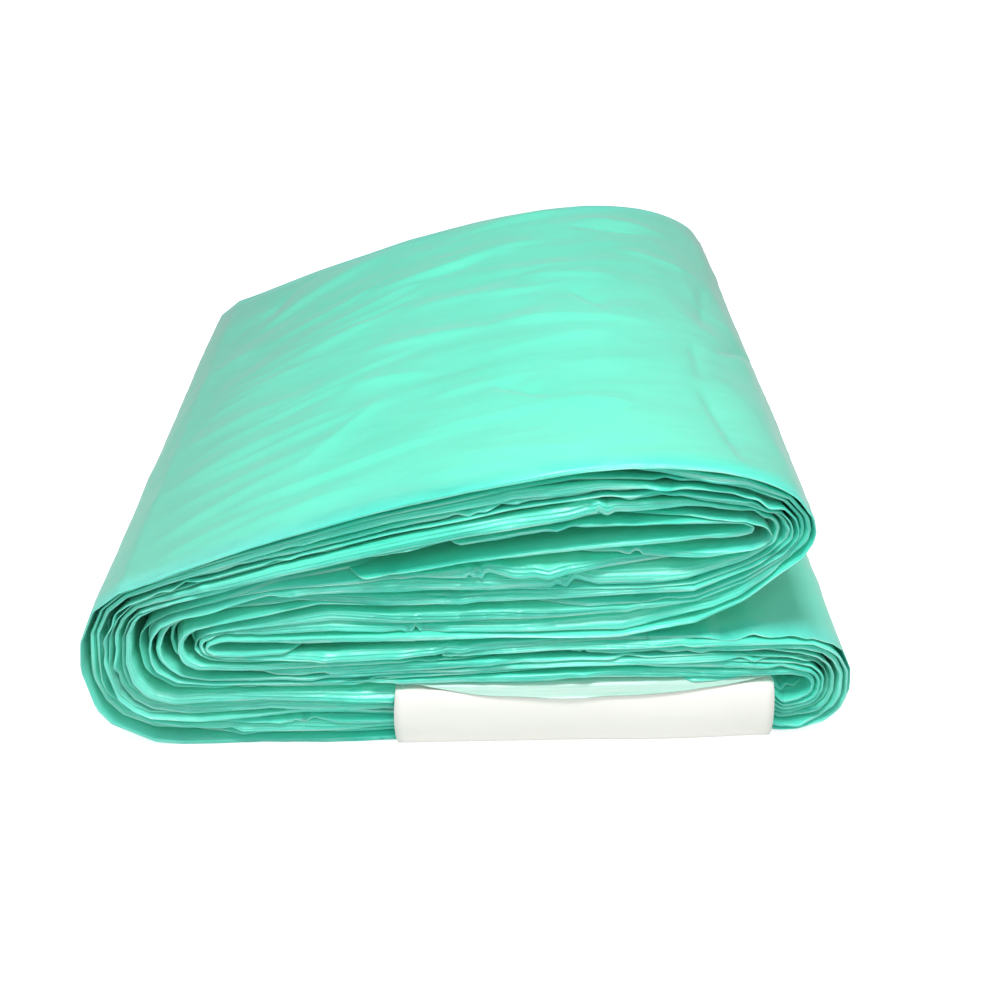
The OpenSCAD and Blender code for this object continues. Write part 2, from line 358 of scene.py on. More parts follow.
def edge_table(length, wound_up=True):
    """How one edge of the film wanders along its length. The columns are: how far it is drawn in, in
    metres; the height of its fold as a share of the half gap; its rise or fall as a share of the
    slot; its crumpling in metres; its fullness; the slope of its faces; the place of its pleats; and
    the side of the slot that it lies on, from -1 to 1. Plies that stand out are set one by one."""
    place = np.arange(0, length, EDGE_STEP)
    crumple = crumpled(place, 52 * MM, 6 * MM)
    if wound_up:
        crumple *= 1 - 0.9 * smooth((place / ring_length - TURNS + 0.95) / 0.04)
    pull = 0.8 + 1.3 * drift(place, 320 * MM) + 1.5 * drift(place, 80 * MM) + 0.5 * drift(place, 17 * MM)
    pull += 0.1 * drift(place, 3 * MM, True) + 2.2 * crumple * drift(place, 4 * MM, True)
    tip = 1.7 * drift(place, 130 * MM) + 0.4 * drift(place, 36 * MM, True)
    tip += 0.1 * drift(place, 7 * MM, True)
    tip += crumple * drift(place, 5 * MM, True)
    sway = 0.1 * drift(place, 34 * MM, True) + 0.04 * drift(place, 10 * MM, True)
    kink = 0.9 * MM * crumple * drift(place, 4 * MM, True)
    full = 0.95 + 0.08 * drift(place, 35 * MM) - 0.3 * crumple - 0.5 * crumpled(place, 190 * MM, 30 * MM)
    slope = 1.15 * np.exp(0.75 * drift(place, 70 * MM)) * (1 + 0.4 * drift(place, 12 * MM, True))
    pleat = 1.2 * drift(place, 60 * MM) + 0.3 * drift(place, 15 * MM, True)
    side = np.clip(2.5 * drift(place, 90 * MM), -1, 1)
    tip = np.clip(tip, -0.95, 0.95)
    if wound_up:
        station = place / ring_length
        for turn, stretch, low_x, high_x, _, drawn_in, fold, fullness in PLIES:
            here = ply_weight(stretch, low_x, high_x)
            weight = np.interp(station - turn, ring_share, here * (1 - ring_climb), left=0, right=0)
            weight += np.interp(station - turn + 1, ring_share, here * ring_climb, left=0, right=0)
            pull += weight * (drawn_in - 0.5 * pull)
            tip += weight * 0.85 * (fold - tip)
            full += weight * (fullness - full)
        for turn, stretch, x, strength in KINKS:
            outside = ~np.isin(ring_part, STRETCHES[stretch])
            share = ring_share[np.argmin(np.abs(ring_mid[:, 0] - x * MM) + outside)]
            beside = (place - (turn + share) * ring_length) / MM
            zigzag = strength * np.interp(beside, KINK_PLACES, KINK_SWINGS)
            tip += zigzag
            kink += 0.55 * MM * zigzag
            pull += 1.8 * np.abs(zigzag)
    return np.stack([pull * MM, np.clip(tip, -1, 1), sway, kink, full, slope, pleat, side], axis=1)


def along_edge(table, distance):
    """An edge's columns at some distances along the film."""
    place = np.arange(len(table)) * EDGE_STEP
    return [np.interp(distance, place, column) for column in table.T]


FRONT_FACE = np.array([0, 0.03, 0.08, 0.15, 0.23, 0.31, 0.39, 0.47, 0.55, 0.63, 0.72, 0.81, 0.9, 1])
BACK_FACE = np.array([0, 0.08, 0.24, 0.5, 0.75, 1])
PLEATS = 3
FACE_DEPTH = np.array([0.2, 4.5]) * MM
PLEAT_MOST = 0.6 * MM


def edge_faces(fold, inward, height, gap, edge, shares):
    """One edge of the flattened tube: for the outer and for the inner sheet, the places in Y and the
    offsets across the turns of a face that runs from the fold to the sheet. The face rises with its
    share of the way, slopes as the edge's slope says, and has pleats: ridges in a sawtooth wave."""
    _, tip, sway, kink, full, slope, pleat, side = edge
    half = gap * full
    start = half * tip
    level = sway * height + kink + side * (gap - half)
    faces = []
    for reach in (half - start, -half - start):
        depth = FACE_DEPTH[0] + np.minimum(slope * np.abs(reach), FACE_DEPTH[1])
        wave = ((PLEATS * shares[None, :] + pleat[:, None]) % 1) ** 1.5
        ridge = 0.5 * np.abs(reach)[:, None] * wave * np.minimum(1, 5 * shares * (1 - shares))[None, :]
        y = fold[:, None] + inward * (depth[:, None] * shares[None, :] - np.minimum(ridge, PLEAT_MOST))
        offset = start[:, None] + reach[:, None] * shares[None, :] ** 0.85
        faces.append((y, offset + level[:, None]))
    return faces


# Half the gap between two turns at most, how far the upper arm's front edges lie back, and how far
# the film's two ends are drawn in and over which run
GAP_MOST = 2.6 * MM
ARM_BACK = 3.2 * MM
TUCK, TUCK_RUN = 13 * MM, 14 * MM


def tucked(distance, length, tuck, run):
    """How far a film's ends are drawn in: by a tuck at either end, gone after a run along it."""
    return tuck * (2 - smooth(distance / run) - smooth((length - distance) / run))


def film_edges(distance, path, laid=0):
    """Both edges of the film along its path: the front one's two faces, then the back one's, and half
    of the gap that they bridge. Where the film is laid on the table, its folds lie on the outer side."""
    height, bend = path[:, 4], path[:, 5]
    gap = np.minimum(0.5 * height * (1 - 0.42 * bend), GAP_MOST)
    front_edge, back_edge = along_edge(front_table, distance), along_edge(back_table, distance)
    for edge in (front_edge, back_edge):
        edge[1] = edge[1] * (1 - laid) + 0.9 * laid
    arm_back = ARM_BACK * smooth((path[:, 1] - 24 * MM) / (16 * MM))
    tuck = tucked(distance, FILM_LENGTH, TUCK, TUCK_RUN)
    front = FILM_FRONT + arm_back + front_edge[0] + tuck
    back = FILM_BACK + 0.3 * arm_back - back_edge[0] - tuck
    front_faces = edge_faces(front, 1, height, gap, front_edge, FRONT_FACE)
    return front_faces, edge_faces(back, -1, height, gap, back_edge, BACK_FACE), gap


# The height under which a run lies in the band, and the one under which it lies on it
IN_BAND, ON_BAND = 17.1 * MM, 34 * MM
# The loop's room: its half width, its lowest and highest film, and the lowest film on it
LOOP_Y, LOOP_LOW, LOOP_HIGH, OVER_LOOP = 103.8 * MM, 0.56 * MM, 17 * MM, 17.75 * MM


def held_by_band(x, y, z, run_z):
    """Keeps film clear of the paper band: what lies in the band stays inside its loop, what lies on
    it stays above it, and nothing goes under the table."""
    over = (x > band_low[0] - 1 * MM) & (x < band_high[0] + 1 * MM)
    inside = over & (run_z < IN_BAND)
    above = over & (run_z >= IN_BAND) & (run_z < ON_BAND)
    y = np.where(inside, np.clip(y, -LOOP_Y, LOOP_Y), y)
    z = np.where(inside, np.clip(z, LOOP_LOW, LOOP_HIGH), z)
    z = np.where(above, np.maximum(z, OVER_LOOP), z)
    return y, np.maximum(z, 0)


def film_mesh(name, path, distance, y, offset, to_fold, held=True):
    """A closed flattened tube from rows of one closed profile each. A point lies off the path by its
    offset along the direction across the turns. Each end is closed by one face. The attribute
    on_film keeps a point's distance along the film, its offset and its distance to a fold."""
    rows, columns = y.shape
    x = path[:, None, 0] + path[:, None, 2] * offset
    z = path[:, None, 1] + path[:, None, 3] * offset
    if held:
        y, z = held_by_band(x, y, z, np.broadcast_to(path[:, None, 1], x.shape))
    points = np.stack([x, y, z], axis=-1)
    index = np.arange(rows * columns).reshape(rows, columns)
    around = np.roll(index, -1, axis=1)
    quads = np.stack([index[:-1], around[:-1], around[1:], index[1:]], axis=-1).reshape(-1, 4)
    corners = np.concatenate([quads.ravel(), index[0][::-1], index[-1]])
    totals = np.concatenate([np.full(len(quads), 4), [columns, columns]])
    starts = np.concatenate([[0], np.cumsum(totals)[:-1]])
    mesh = bpy.data.meshes.new(name)
    mesh.vertices.add(rows * columns)
    mesh.vertices.foreach_set("co", points.ravel())
    mesh.loops.add(len(corners))
    mesh.loops.foreach_set("vertex_index", corners.astype(np.int32))
    mesh.polygons.add(len(totals))
    mesh.polygons.foreach_set("loop_start", starts.astype(np.int32))
    mesh.update(calc_edges=True)
    mesh.polygons.foreach_set("use_smooth", totals == 4)
    far = np.broadcast_to(distance[:, None], y.shape)
    on_film = np.stack([far, offset, to_fold], axis=-1)
    place = mesh.attributes.new("on_film", "FLOAT_VECTOR", "POINT")
    place.data.foreach_set("vector", on_film.astype(np.float32).ravel())
    uv = mesh.uv_layers.new(name="film")
    plan = np.stack([far, y], axis=-1).reshape(-1, 2)
    uv.data.foreach_set("uv", plan[corners].astype(np.float32).ravel())
    return closed_piece(name, mesh)


def linked(name, data):
    """A new object of some data, linked to the scene's collection."""
    made = bpy.data.objects.new(name, data)
    bpy.context.collection.objects.link(made)
    return made


def closed_piece(name, mesh):
    """Makes a piece of a closed mesh. Its faces are turned over if their volume is negative."""
    mesh.validate()
    piece = linked(name, mesh)
    points = np.empty(len(mesh.vertices) * 3)
    mesh.vertices.foreach_get("co", points)
    points = points.reshape(-1, 3)
    mesh.calc_loop_triangles()
    corners = np.empty(len(mesh.loop_triangles) * 3, dtype=np.int32)
    mesh.loop_triangles.foreach_get("vertices", corners)
    a, b, c = points[corners.reshape(-1, 3)].transpose(1, 0, 2)
    if np.einsum("ij,ij->", a, np.cross(b, c)) < 0:
        mesh.flip_normals()
        mesh.update()
    return piece


def closed_profile(front_faces, back_faces, outer_y, outer_offset, inner_y, inner_offset):
    """Joins the parts of the film's closed profile: the front fold, out over the front's outer face,
    along the outer sheet, the back's two faces, and home along the inner sheet. Gives Y, offsets and
    the distance to the nearer fold."""
    (front_out_y, front_out), (front_in_y, front_in) = front_faces
    (back_out_y, back_out), (back_in_y, back_in) = back_faces
    y = np.concatenate([front_out_y, outer_y, back_out_y[:, ::-1], back_in_y[:, 1:], inner_y,
                        front_in_y[:, :0:-1]], axis=1)
    offset = np.concatenate([front_out, outer_offset, back_out[:, ::-1], back_in[:, 1:], inner_offset,
                             front_in[:, :0:-1]], axis=1)
    to_front = np.abs(y - front_out_y[:, :1]) + np.abs(offset - front_out[:, :1])
    to_back = np.abs(y - back_out_y[:, :1]) + np.abs(offset - back_out[:, :1])
    return y, offset, np.minimum(to_front, to_back)


STEPS_A_TURN = 748
SAG = 2.6 * MM
SHEET_IN = np.array([9, 24]) * MM
SHEET_BACK_IN = 14 * MM
SPARE = 10 * MM
front_table, back_table = (edge_table(FILM_LENGTH + SPARE) for _ in range(2))


def sheet_places(front_faces, back_faces):
    """The places in Y at which an inner sheet has its points: two behind the front, one at the back."""
    front_fold, back_fold = front_faces[0][0][:, :1], back_faces[0][0][:, :1]
    return np.concatenate([front_fold + SHEET_IN, back_fold - SHEET_BACK_IN], axis=1)


def level_sheet(front_faces, back_faces, y):
    """Offsets at places in Y on the straight line between the ends of the front's and the back's outer
    faces."""
    front_y, front_end = (part[:, -1:] for part in front_faces[0])
    back_y, back_end = (part[:, -1:] for part in back_faces[0])
    return front_end + (back_end - front_end) * (y - front_y) / (back_y - front_y)


def inner_turns(name, first, last):
    """Some of the inner turns of the film, which show at their edges. Behind the edges their sheets
    sag towards the ring's opening."""
    station = np.linspace(first, last, STEPS_A_TURN * (last - first) + 1)
    path = creased_path(station)
    distance = station * ring_length
    front_faces, back_faces, gap = film_edges(distance, path)
    y = sheet_places(front_faces, back_faces)
    covered = (1 - smooth((station - (TURNS - 2 + climb_from)) / 0.04))[:, None]
    open_hole = np.where(station < 1, 1 - path[:, 5], 1)[:, None]
    sag = SAG * np.array([0.55, 1, 1]) * covered * open_hole
    level = level_sheet(front_faces, back_faces, y)
    outer = (0.7 * gap[:, None] - sag) * covered + level * (1 - covered)
    inner = -0.7 * gap[:, None] - sag
    profile = closed_profile(front_faces, back_faces, y, outer, y[:, ::-1], inner[:, ::-1])
    return film_mesh(name, path, distance, *profile)


# Creases of the top cover, listed: ends in X and Y, height and the widths of their two sides, in mm
TOP_CREASES = [
    (-40, 52, 33, 72, 1.5, 2.2, 9), (-30, 51, 14, 63, -0.8, 2.5, 5), (0, 91, 40, 101, 1.2, 2, 7),
    (6, 3, 60, -13, 1, 1.2, 8), (-37, 4, 12, -2, 1, 1.6, 7), (-40, -18, -6, -26, 0.9, 1.4, 5),
    (5, -37, 26, -60, -1, 2.4, 4), (24, -60, 46, -69, 1, 1.8, 5), (-96, -30, -48, -13, 1.4, 1.8, 7),
    (-97, -58, -52, -38, 1.4, 1.8, 8), (-92, 46, -60, 90, -1.3, 4, 5), (-85, 51, -68, 82, 1.1, 2, 5),
    (72, -26, 91, 1, -1.1, 1.3, 4), (63, -50, 70, -101, -1.1, 1.3, 6), (66, -16, 64, -52, -0.7, 1.6, 4),
    (36, 89, 71, 76, 0.8, 1.5, 3), (30, 83, 66, 70, -0.6, 1.5, 3), (-95, 22, -70, 42, 1.1, 1.6, 6),
    (-48, -70, -20, -31, 1, 2.5, 7), (-90, -84, -38, -60, 0.9, 2, 7), (32, 21, 44, -4, -0.7, 1, 3),
    (-62, 8, -28, 31, 0.9, 2.5, 8), (-22, 31, 26, 23, 0.7, 1.8, 7), (-16, -80, 42, -92, 0.7, 2.5, 7),
    (77, 42, 70, -12, -0.7, 1.8, 6), (-72, -93, -18, -84, 0.7, 2, 6), (47, 56, 76, 39, 0.7, 1.8, 4),
    (-88, -6, -40, 12, 0.9, 1.6, 6), (-74, -44, -30, -34, 0.7, 1.4, 5), (14, 38, 52, 26, 0.6, 1.4, 5),
]


def crease_field(x, y, creases):
    """Height of a set of creases over a plane: each is a sharp ridge along its line, falling off
    exponentially at its own width on either side, and fading towards its two ends."""
    total = np.zeros_like(x)
    for x0, y0, x1, y1, height, near_w, far_w in creases:
        start = np.array([x0, y0]) * MM
        run = np.array([x1, y1]) * MM - start
        length = np.hypot(*run)
        along = ((x - start[0]) * run[0] + (y - start[1]) * run[1]) / length
        side = ((y - start[1]) * run[0] - (x - start[0]) * run[1]) / length
        fade = smooth(along / (0.4 * length)) * smooth((length - along) / (0.4 * length))
        width = np.where(side > 0, far_w, near_w) * MM
        total += height * MM * fade * np.exp(-np.abs(side) / width)
    return total


def fanned_creases():
    """More creases for the top cover, in the listed ones' form: long ones that fan out from the
    left fold, steeper towards the back, and shallow ones over the crown."""
    pick = np.random.default_rng(12)
    rows = []

    def add(x, y, degrees, length, low, high, widest):
        """Adds a crease from its start, direction and length, with a random height and widths."""
        turned = math.radians(degrees)
        rows.append((x, y, x + length * math.cos(turned), y + length * math.sin(turned),
                     pick.uniform(low, high), pick.uniform(0.7, 1.2), pick.uniform(7, widest)))

    for y in np.linspace(-94, 58, 13):
        x = pick.uniform(-94, -70)
        degrees = 12 + 0.17 * (y + 94) + pick.uniform(-5, 5)
        add(x, y, degrees, pick.uniform(45, 95), 0.3, 0.65, 12)
    for y in np.linspace(-88, 88, 9):
        x = pick.uniform(-22, 6)
        degrees = pick.uniform(-12, 8)
        add(x, y, degrees, pick.uniform(38, 62), 0.2, 0.5, 11)
    return rows


def lattice_noise(x, y, seed):
    """Smooth noise between -1 and 1 over a plane: random values on a unit lattice, blended."""
    values = np.random.default_rng(seed).uniform(-1, 1, (96, 96))
    column, row = np.floor(x).astype(int), np.floor(y).astype(int)
    across, up = smooth(x - column), smooth(y - row)
    column, beside = column % 96, (column + 1) % 96
    row, above = row % 96, (row + 1) % 96
    low = values[column, row] * (1 - across) + values[beside, row] * across
    high = values[column, above] * (1 - across) + values[beside, above] * across
    return low * (1 - up) + high * up


def turned_axes(x, y, degrees):
    """Places along a direction in the plane, and to its side."""
    turned = math.radians(degrees)
    return x * math.cos(turned) + y * math.sin(turned), y * math.cos(turned) - x * math.sin(turned)


def wrinkles(x, y, degrees, length, width, seed):
    """Ridged noise, stretched along a direction: one less the size of smooth noise, cubed, with its
    crests a little rounded."""
    along, side = turned_axes(x, y, degrees)
    bend = 0.35 * lattice_noise(along / length * 1.3 + 7, side / length + 3, seed + 50)
    noise = lattice_noise(along / length, side / width + bend * 3, seed)
    return (1 - np.sqrt(noise ** 2 + 0.02)) ** 3


def facets(x, y, degrees, length, width, seed):
    """Facets as in crumpled film: the distance to the nearest of many random points, one in each cell
    of a lattice that is stretched along a direction. Where two points are as near, there is a crease."""
    spots = np.random.default_rng(seed).uniform(0, 1, (64, 64, 2))
    along, side = turned_axes(x, y, degrees)
    along, side = along / length + 20, side / width + 20
    column, row = np.floor(along).astype(int), np.floor(side).astype(int)
    nearest = np.full(along.shape, 9.0)
    for across in (-1, 0, 1):
        for up in (-1, 0, 1):
            spot = spots[(column + across) % 64, (row + up) % 64]
            apart = np.hypot(column + across + spot[..., 0] - along, row + up + spot[..., 1] - side)
            nearest = np.minimum(nearest, apart)
    return nearest


COVER_STEPS = 500
COVER_COLUMNS = 150
COVER_INNER_COLUMNS = 5
RELIEF_MOST = 2.6 * MM
CLEAR_RUN = 7 * MM


def cover_stations():
    """Numbers of turns done at the cover's rows, which lie closer where it shows from above."""
    shows = (ring[:, 3] > ring[:, 1] - 2 * MM) & (ring[:, 3] > 25 * MM)
    weight = np.cumsum(np.where(shows, 1, 0.5))
    weight = (weight - weight[0]) / np.interp(climb_from, ring_share, weight - weight[0])
    return TURNS - 1 + np.interp(np.linspace(0, 1, COVER_STEPS), weight, ring_share)


def cover_relief(x, y, distance, on_top):
    """How far the cover stands out: on top a swell, wrinkles and facets that fan out from the left,
    and the creases; elsewhere plain wrinkles that run across the film."""
    left = smooth((-x - 5 * MM) / (50 * MM))
    right = smooth((x - 48 * MM) / (22 * MM))
    fan = 0.3 * left * wrinkles(x, y, 26, 90 * MM, 15 * MM, 1)
    fan += 0.25 * (1 - left) * (1 - right) * wrinkles(x, y, -6, 80 * MM, 17 * MM, 2)
    fan += 0.5 * right * wrinkles(x, y, -74, 80 * MM, 11 * MM, 3)
    fan += 1.5 * left * facets(x, y, 29, 40 * MM, 16 * MM, 41)
    fan += 1.3 * (1 - left) * (1 - right) * facets(x, y, -7, 34 * MM, 17 * MM, 42)
    fan += 1.2 * right * facets(x, y, -72, 44 * MM, 14 * MM, 43)
    swell = 0.6 * lattice_noise(x / (55 * MM) + 9, y / (48 * MM) + 9, 8)
    plain = 0.8 * wrinkles(distance, y, 84, 60 * MM, 12 * MM, 6)
    plain += 0.3 * wrinkles(distance, y, 24, 24 * MM, 6 * MM, 7)
    top = (fan + swell) * MM + 2.4 * crease_field(x, y, TOP_CREASES + fanned_creases())
    top = RELIEF_MOST * np.tanh(top / RELIEF_MOST)
    return on_top * (top - 0.6 * MM) + (1 - on_top) * 0.7 * MM * plain


def outer_turn(name):
    """The outermost turn, whose outer sheet is the stack's cover, with its creases and wrinkles."""
    station = cover_stations()
    distance = station * ring_length
    creased = creased_path(station)
    even = at_ring(np.full(len(station), TURNS - 1), np.minimum(station - (TURNS - 1), climb_from))
    on_top = smooth((creased[:, 1] - 44 * MM) / (10 * MM)) * smooth((creased[:, 3] - 0.3) / 0.4)
    path = creased * (1 - on_top)[:, None] + even * on_top[:, None]
    on_table = smooth((0.3 - creased[:, 3]) / 0.4) * smooth((20 * MM - creased[:, 1]) / (10 * MM))
    front_faces, back_faces, gap = film_edges(distance, path, 0.9 * on_table)
    share = np.linspace(0, 1, COVER_COLUMNS + 2)[1:-1]
    first, last = front_faces[0][0][:, -1:], back_faces[0][0][:, -1:]
    outer_y = first + (last - first) * share
    level = level_sheet(front_faces, back_faces, outer_y)
    x = np.broadcast_to(path[:, :1], outer_y.shape)
    relief = cover_relief(x, outer_y, np.broadcast_to(distance[:, None], x.shape), on_top[:, None])
    clear = smooth((outer_y - first) / CLEAR_RUN) * smooth((last - outer_y) / CLEAR_RUN)
    clear = clear * smooth((station - (TURNS - 1)) / 0.02)[:, None]
    inner_share = np.linspace(0, 1, COVER_INNER_COLUMNS + 2)[1:-1]
    inner_y = last + (first - last) * inner_share
    inner = np.broadcast_to(-gap[:, None] - SAG, inner_y.shape)
    profile = closed_profile(front_faces, back_faces, outer_y, level + relief * clear, inner_y, inner)
    return film_mesh(name, path, distance, *profile)


def loose_ply(name, corners, thickness, lean, steps):
    """A loose ply of the film: a narrow flattened tube along corners given as X, Z and the height of
    its slot in mm. Its direction across is the path's own, turned a quarter."""
    corners = np.array(corners) * MM
    step = np.diff(corners[:, :2], axis=0)
    travel = np.concatenate([[0], np.cumsum(np.linalg.norm(step, axis=1))])
    heading = np.unwrap(np.arctan2(step[:, 1], step[:, 0]))
    heading = np.interp(travel, (travel[1:] + travel[:-1]) / 2, heading)
    distance = np.linspace(0, travel[-1], steps)
    x, z, height = (np.interp(distance, travel, column) for column in corners.T)
    turned = np.interp(distance, travel, heading)
    path = np.stack([x, z, -np.sin(turned), np.cos(turned), height, np.zeros(steps)], axis=1)
    tables = [edge_table(travel[-1] + SPARE / 2, False) for _ in range(2)]
    front_edge, back_edge = (along_edge(table, distance) for table in tables)
    tuck = tucked(distance, travel[-1], 12 * MM, 10 * MM)
    front = FILM_FRONT + lean + front_edge[0] + tuck
    back = FILM_BACK - lean - back_edge[0] - tuck
    front_faces = edge_faces(front, 1, height, 0.5 * height, front_edge, FRONT_FACE)
    back_faces = edge_faces(back, -1, height, 0.5 * height, back_edge, BACK_FACE)
    y = sheet_places(front_faces, back_faces)
    outer = np.broadcast_to(0.3 * thickness, y.shape)
    profile = closed_profile(front_faces, back_faces, y, outer, y[:, ::-1], -outer)
    return film_mesh(name, path, distance, *profile)


# The innermost hairpin, loose in the opening of the upper arm
LOOSE_HAIRPIN = [
    (-34, 49, 0.7), (-16, 51.4, 0.9), (2, 54, 1.4), (20, 55.6, 1.8), (38, 57, 1.5), (55, 58.4, 1.2),
    (68, 59.4, 1), (71, 60.2, 0.9), (71.5, 61.4, 0.9), (69, 62.6, 1), (58, 63.2, 1.2),
    (42, 62.8, 0.9), (28, 63.2, 1.4), (14, 61.2, 1.5), (2, 59, 0.9), (-10, 57, 0.7),
]


# The drooping edge in mm: its left end and its width, its height on the band, how far it falls over
# the band's edge, and where it starts to
DROOP_X, DROOP_W, DROOP_Z, DROOP_FALL, DROOP_FROM = -17, 96, 18.55, 2.7, -104.1


def drooping_edge(name):
    """The ply that droops over the band's upper front edge: a lens in front view, deepest in the
    middle. From where it passes the band's edge it falls by a power of how far it stands out."""
    rows, columns = 130, 18
    share = np.linspace(0, 1, rows)
    lens = np.sin(np.pi * share) ** 0.4
    x = (DROOP_X + DROOP_W * share) * MM
    inward = np.linspace(0, 1, columns) ** 1.7
    front = -101.4 - 5.8 * lens + 0.25 * lattice_noise(share * 9, share * 0 + 4, 31)
    y = (front[:, None] * (1 - inward)[None, :] - 88 * inward[None, :]) * MM
    over = np.clip((DROOP_FROM * MM - y) / (3 * MM), 0, 1)
    ripple = 0.2 * lattice_noise(x[:, None] / (13 * MM) + 5, inward[None, :] * 3 + 5, 33)
    z = (DROOP_Z - DROOP_FALL * over ** 1.25 + ripple * lens[:, None] * (1 - inward)[None, :]) * MM
    thin = 0.16 * MM * np.minimum(1, 6 * inward)[None, :] * np.ones((rows, 1))
    profile_y = np.concatenate([y, y[:, :0:-1]], axis=1)
    offset = np.concatenate([z + thin, (z - thin)[:, :0:-1]], axis=1)
    path = np.stack([x, np.zeros(rows), np.zeros(rows), np.ones(rows)], axis=1)
    to_fold = 3 * MM + np.abs(profile_y - y[:, :1])
    return film_mesh(name, path, x - x[0], profile_y, offset, to_fold, held=False)


PAPER_T = 0.25 * MM
BAND_CLEAR = 0.37 * MM
HALF_LAP = 14 * MM
LAP_STEP = 8 * MM
BAND_COLUMNS = 44


def paper_band(name):
    """The paper band: a strip carried once round the bottom run, from a start under it to a lap that
    passes below the start. Its section is the run's box with its ends bulged in an arc. The outer and
    inner sheets are a paper's thickness apart and joined at all four edges."""
    low, high = band_low[2] + PAPER_T, band_high[2]
    depth = FILM_BACK + BAND_CLEAR
    arc = np.radians(np.linspace(-90, 90, 40))
    out = depth + (band_high[1] - depth) * np.cos(arc)
    climb = (low + high) / 2 + (high - low) / 2 * np.sin(arc)
    start_y = np.linspace(HALF_LAP, -depth, 40)[:-1]
    top_y = np.linspace(-depth, depth, 60)[1:-1]
    end_y = np.linspace(depth, -HALF_LAP, 48)[1:]
    end_z = low - PAPER_T * smooth((HALF_LAP + LAP_STEP - end_y) / LAP_STEP)
    y = np.concatenate([start_y, -out, top_y, out[::-1], end_y])
    z = np.concatenate([np.full(len(start_y), low), climb, np.full(len(top_y), high), climb[::-1], end_z])
    strip = np.stack([y, z], axis=1)
    ahead = np.gradient(strip, axis=0)
    normal = np.stack([-ahead[:, 1], ahead[:, 0]], axis=1)
    normal /= np.linalg.norm(normal, axis=1)[:, None]
    left, right = band_low[0], band_high[0]
    x = left + (right - left) * np.linspace(0, 1, BAND_COLUMNS)
    waver = 0.3 * MM * lattice_noise(x[:, None] / (26 * MM) + 3, z[None, :] / (9 * MM) + 40, 21)
    sheet = strip[None, :, :] + normal[None, :, :] * (waver * (np.abs(y) > depth))[..., None]
    bow = 0.7 * MM * np.sin(np.clip(z / high, 0, 1) * math.pi)
    shift = np.where(x[:, None] < (left + right) / 2, -bow[None, :] * 0.9, bow[None, :] * 0.3)
    place = (x[:, None] + shift)[..., None]
    points = [np.concatenate([place, sheet - normal[None, :, :] * into], axis=-1) for into in (0, PAPER_T)]
    outer = np.arange(x.size * y.size).reshape(x.size, y.size)
    inner = outer + outer.size
    rim = np.concatenate([outer[0, :-1], outer[:-1, -1], outer[-1, :0:-1], outer[:0:-1, 0]])
    rim_in = rim + outer.size
    faces = [(outer[:-1, :-1], outer[:-1, 1:], outer[1:, 1:], outer[1:, :-1]),
             (inner[:-1, :-1], inner[1:, :-1], inner[1:, 1:], inner[:-1, 1:]),
             (rim, rim_in, np.roll(rim_in, -1), np.roll(rim, -1))]
    quads = np.concatenate([np.stack(corners, axis=-1).reshape(-1, 4) for corners in faces])
    mesh = bpy.data.meshes.new(name)
    mesh.from_pydata(np.concatenate(points).reshape(-1, 3), [], quads.tolist())
    mesh.polygons.foreach_set("use_smooth", np.ones(len(quads), dtype=bool))
    return closed_piece(name, mesh)


def connect(tree, value, socket):
    """Links an output to an input socket, or sets the input to a plain value."""
    if isinstance(value, bpy.types.NodeSocket):
        tree.links.new(value, socket)
    else:
        socket.default_value = value


def feed(tree, made, **inputs):
    """Connects a node's inputs by name, with _ for a space."""
    for name, value in inputs.items():
        connect(tree, value, made.inputs[name.replace("_", " ")])


def node(tree, kind, **inputs):
    """Adds a shader node of a kind and feeds its inputs."""
    made = tree.nodes.new("ShaderNode" + kind)
    feed(tree, made, **inputs)
    return made


def arithmetic(tree, operation, first, second=0.0):
    """Adds a Math node."""
    made = node(tree, "Math")
    made.operation = operation
    for value, socket in zip((first, second), made.inputs):
        connect(tree, value, socket)
    return made.outputs[0]


def colour_mix(tree, share, first, second):
    """Adds a Mix node for colours: the first at share 0, the second at share 1."""
    made = node(tree, "Mix")
    made.data_type = "RGBA"
    feed(tree, made, Factor=share, A=first, B=second)
    return made.outputs["Result"]


def map_range(tree, value, low, high, to_low, to_high):
    """Adds a Map Range node that takes a value from one range to another, and keeps it in there."""
    made = node(tree, "MapRange", Value=value, From_Min=low, From_Max=high, To_Min=to_low, To_Max=to_high)
    return made.outputs["Result"]


# The colours that each film material gives to the shared skin: the Line tone is painted shade for the
# crevices between plies, the Fold tone is paler film at the folds and also painted highlight, sheen and
# light, and the last is painted shade on the cover's slopes
TONES = ("Deep", "Bright", "Edge Deep", "Edge Bright", "Line", "Fold", "Slope Shade")


